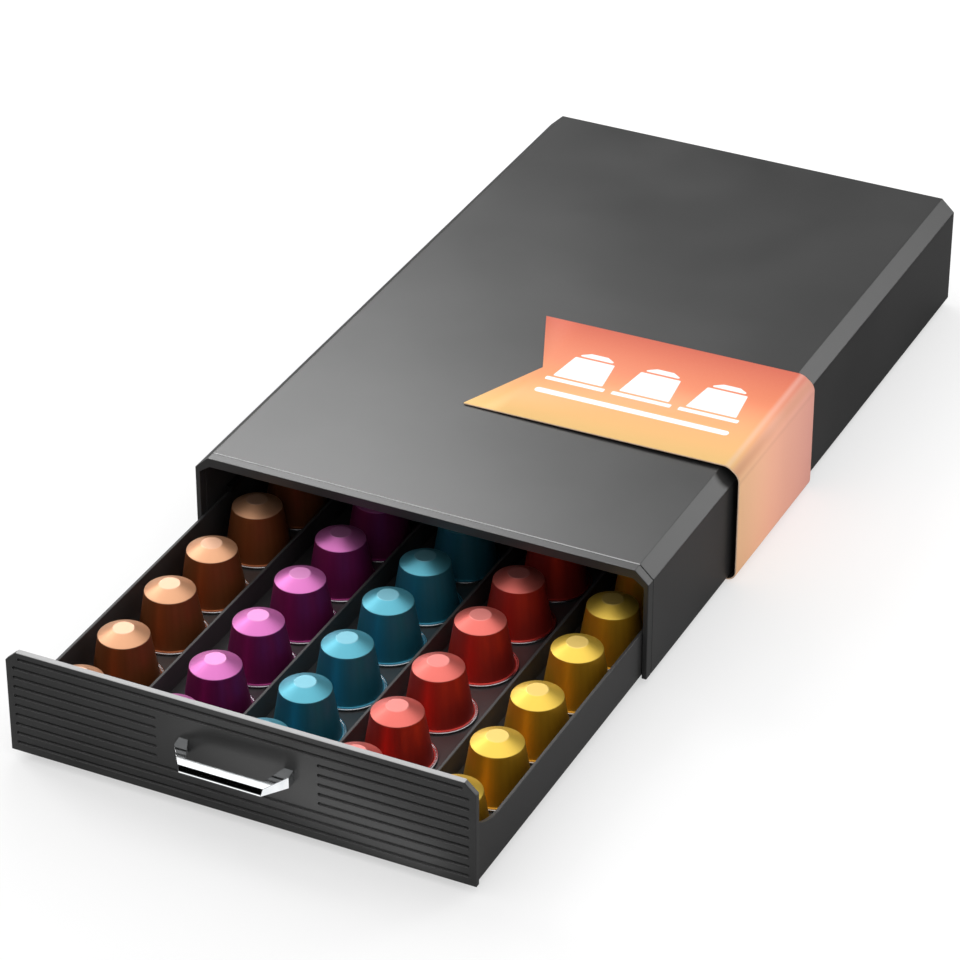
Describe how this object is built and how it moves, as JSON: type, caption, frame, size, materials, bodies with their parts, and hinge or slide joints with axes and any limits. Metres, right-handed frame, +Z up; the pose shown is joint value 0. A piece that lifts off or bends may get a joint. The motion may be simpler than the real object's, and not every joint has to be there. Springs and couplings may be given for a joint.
{
  "type": "coffee capsule drawer",
  "caption": "Low flat case with a pull-out drawer that holds foil-lidded coffee capsules upright in lanes, with a bar handle and a loose card band hooked round one side.",
  "frame": {"origin": "centre of the footprint, drawer out as in the picture and band left out across the width, on the surface that the feet stand on", "axes": "+X to the right, +Y from the drawer's front to the back of the case, +Z up"},
  "size_m": [0.2437, 0.6, 0.0658],
  "materials": {
    "abs_case": "satin",
    "abs_tray": "satin",
    "abs_panel": "satin",
    "acetal_guides": "smooth",
    "steel_base": "powder coated",
    "rubber_feet": "matt",
    "chrome_handle": "polished",
    "steel_screws": "zinc plated",
    "card_band": "printed card, satin",
    "foil_lids": "foil",
    "cup_copper": "satin anodised",
    "cup_magenta": "satin anodised",
    "cup_turquoise": "satin anodised",
    "cup_red": "satin anodised",
    "cup_gold": "satin anodised"
  },
  "bodies": {
    "case": {"case_shell": "abs_case", "front_bezel": "abs_case", "rear_panel": "abs_case", "rail_left": "acetal_guides", "rail_right": "acetal_guides", "stop_left": "acetal_guides", "stop_right": "acetal_guides", "base_plate": "steel_base", "foot_front_left": "rubber_feet", "foot_front_right": "rubber_feet", "foot_rear_left": "rubber_feet", "foot_rear_right": "rubber_feet", "bumper_left": "rubber_feet", "bumper_right": "rubber_feet", "rear_screws": "steel_screws"},
    "drawer": {"drawer_tray": "abs_tray", "front_panel": "abs_panel", "panel_screws": "steel_screws", "handle": "chrome_handle", "handle_screws": "steel_screws", "divider_1": "abs_tray", "divider_2": "abs_tray", "divider_3": "abs_tray", "divider_4": "abs_tray", "cups_copper": "cup_copper", "foils_copper": "foil_lids", "cups_magenta": "cup_magenta", "foils_magenta": "foil_lids", "cups_turquoise": "cup_turquoise", "foils_turquoise": "foil_lids", "cups_red": "cup_red", "foils_red": "foil_lids", "cups_gold": "cup_gold", "foils_gold": "foil_lids"},
    "band": {"card_band": "card_band"}
  },
  "joints": [
    {"name": "drawer_slide", "type": "slide", "parent": "case", "child": "drawer", "axis": [0, -1, 0], "range_m": [-0.1746, 0.1454]},
    {"name": "band_slide", "type": "slide", "parent": "case", "child": "band", "axis": [1, 0, 0], "range_m": [0, 0.16]}
  ]
}
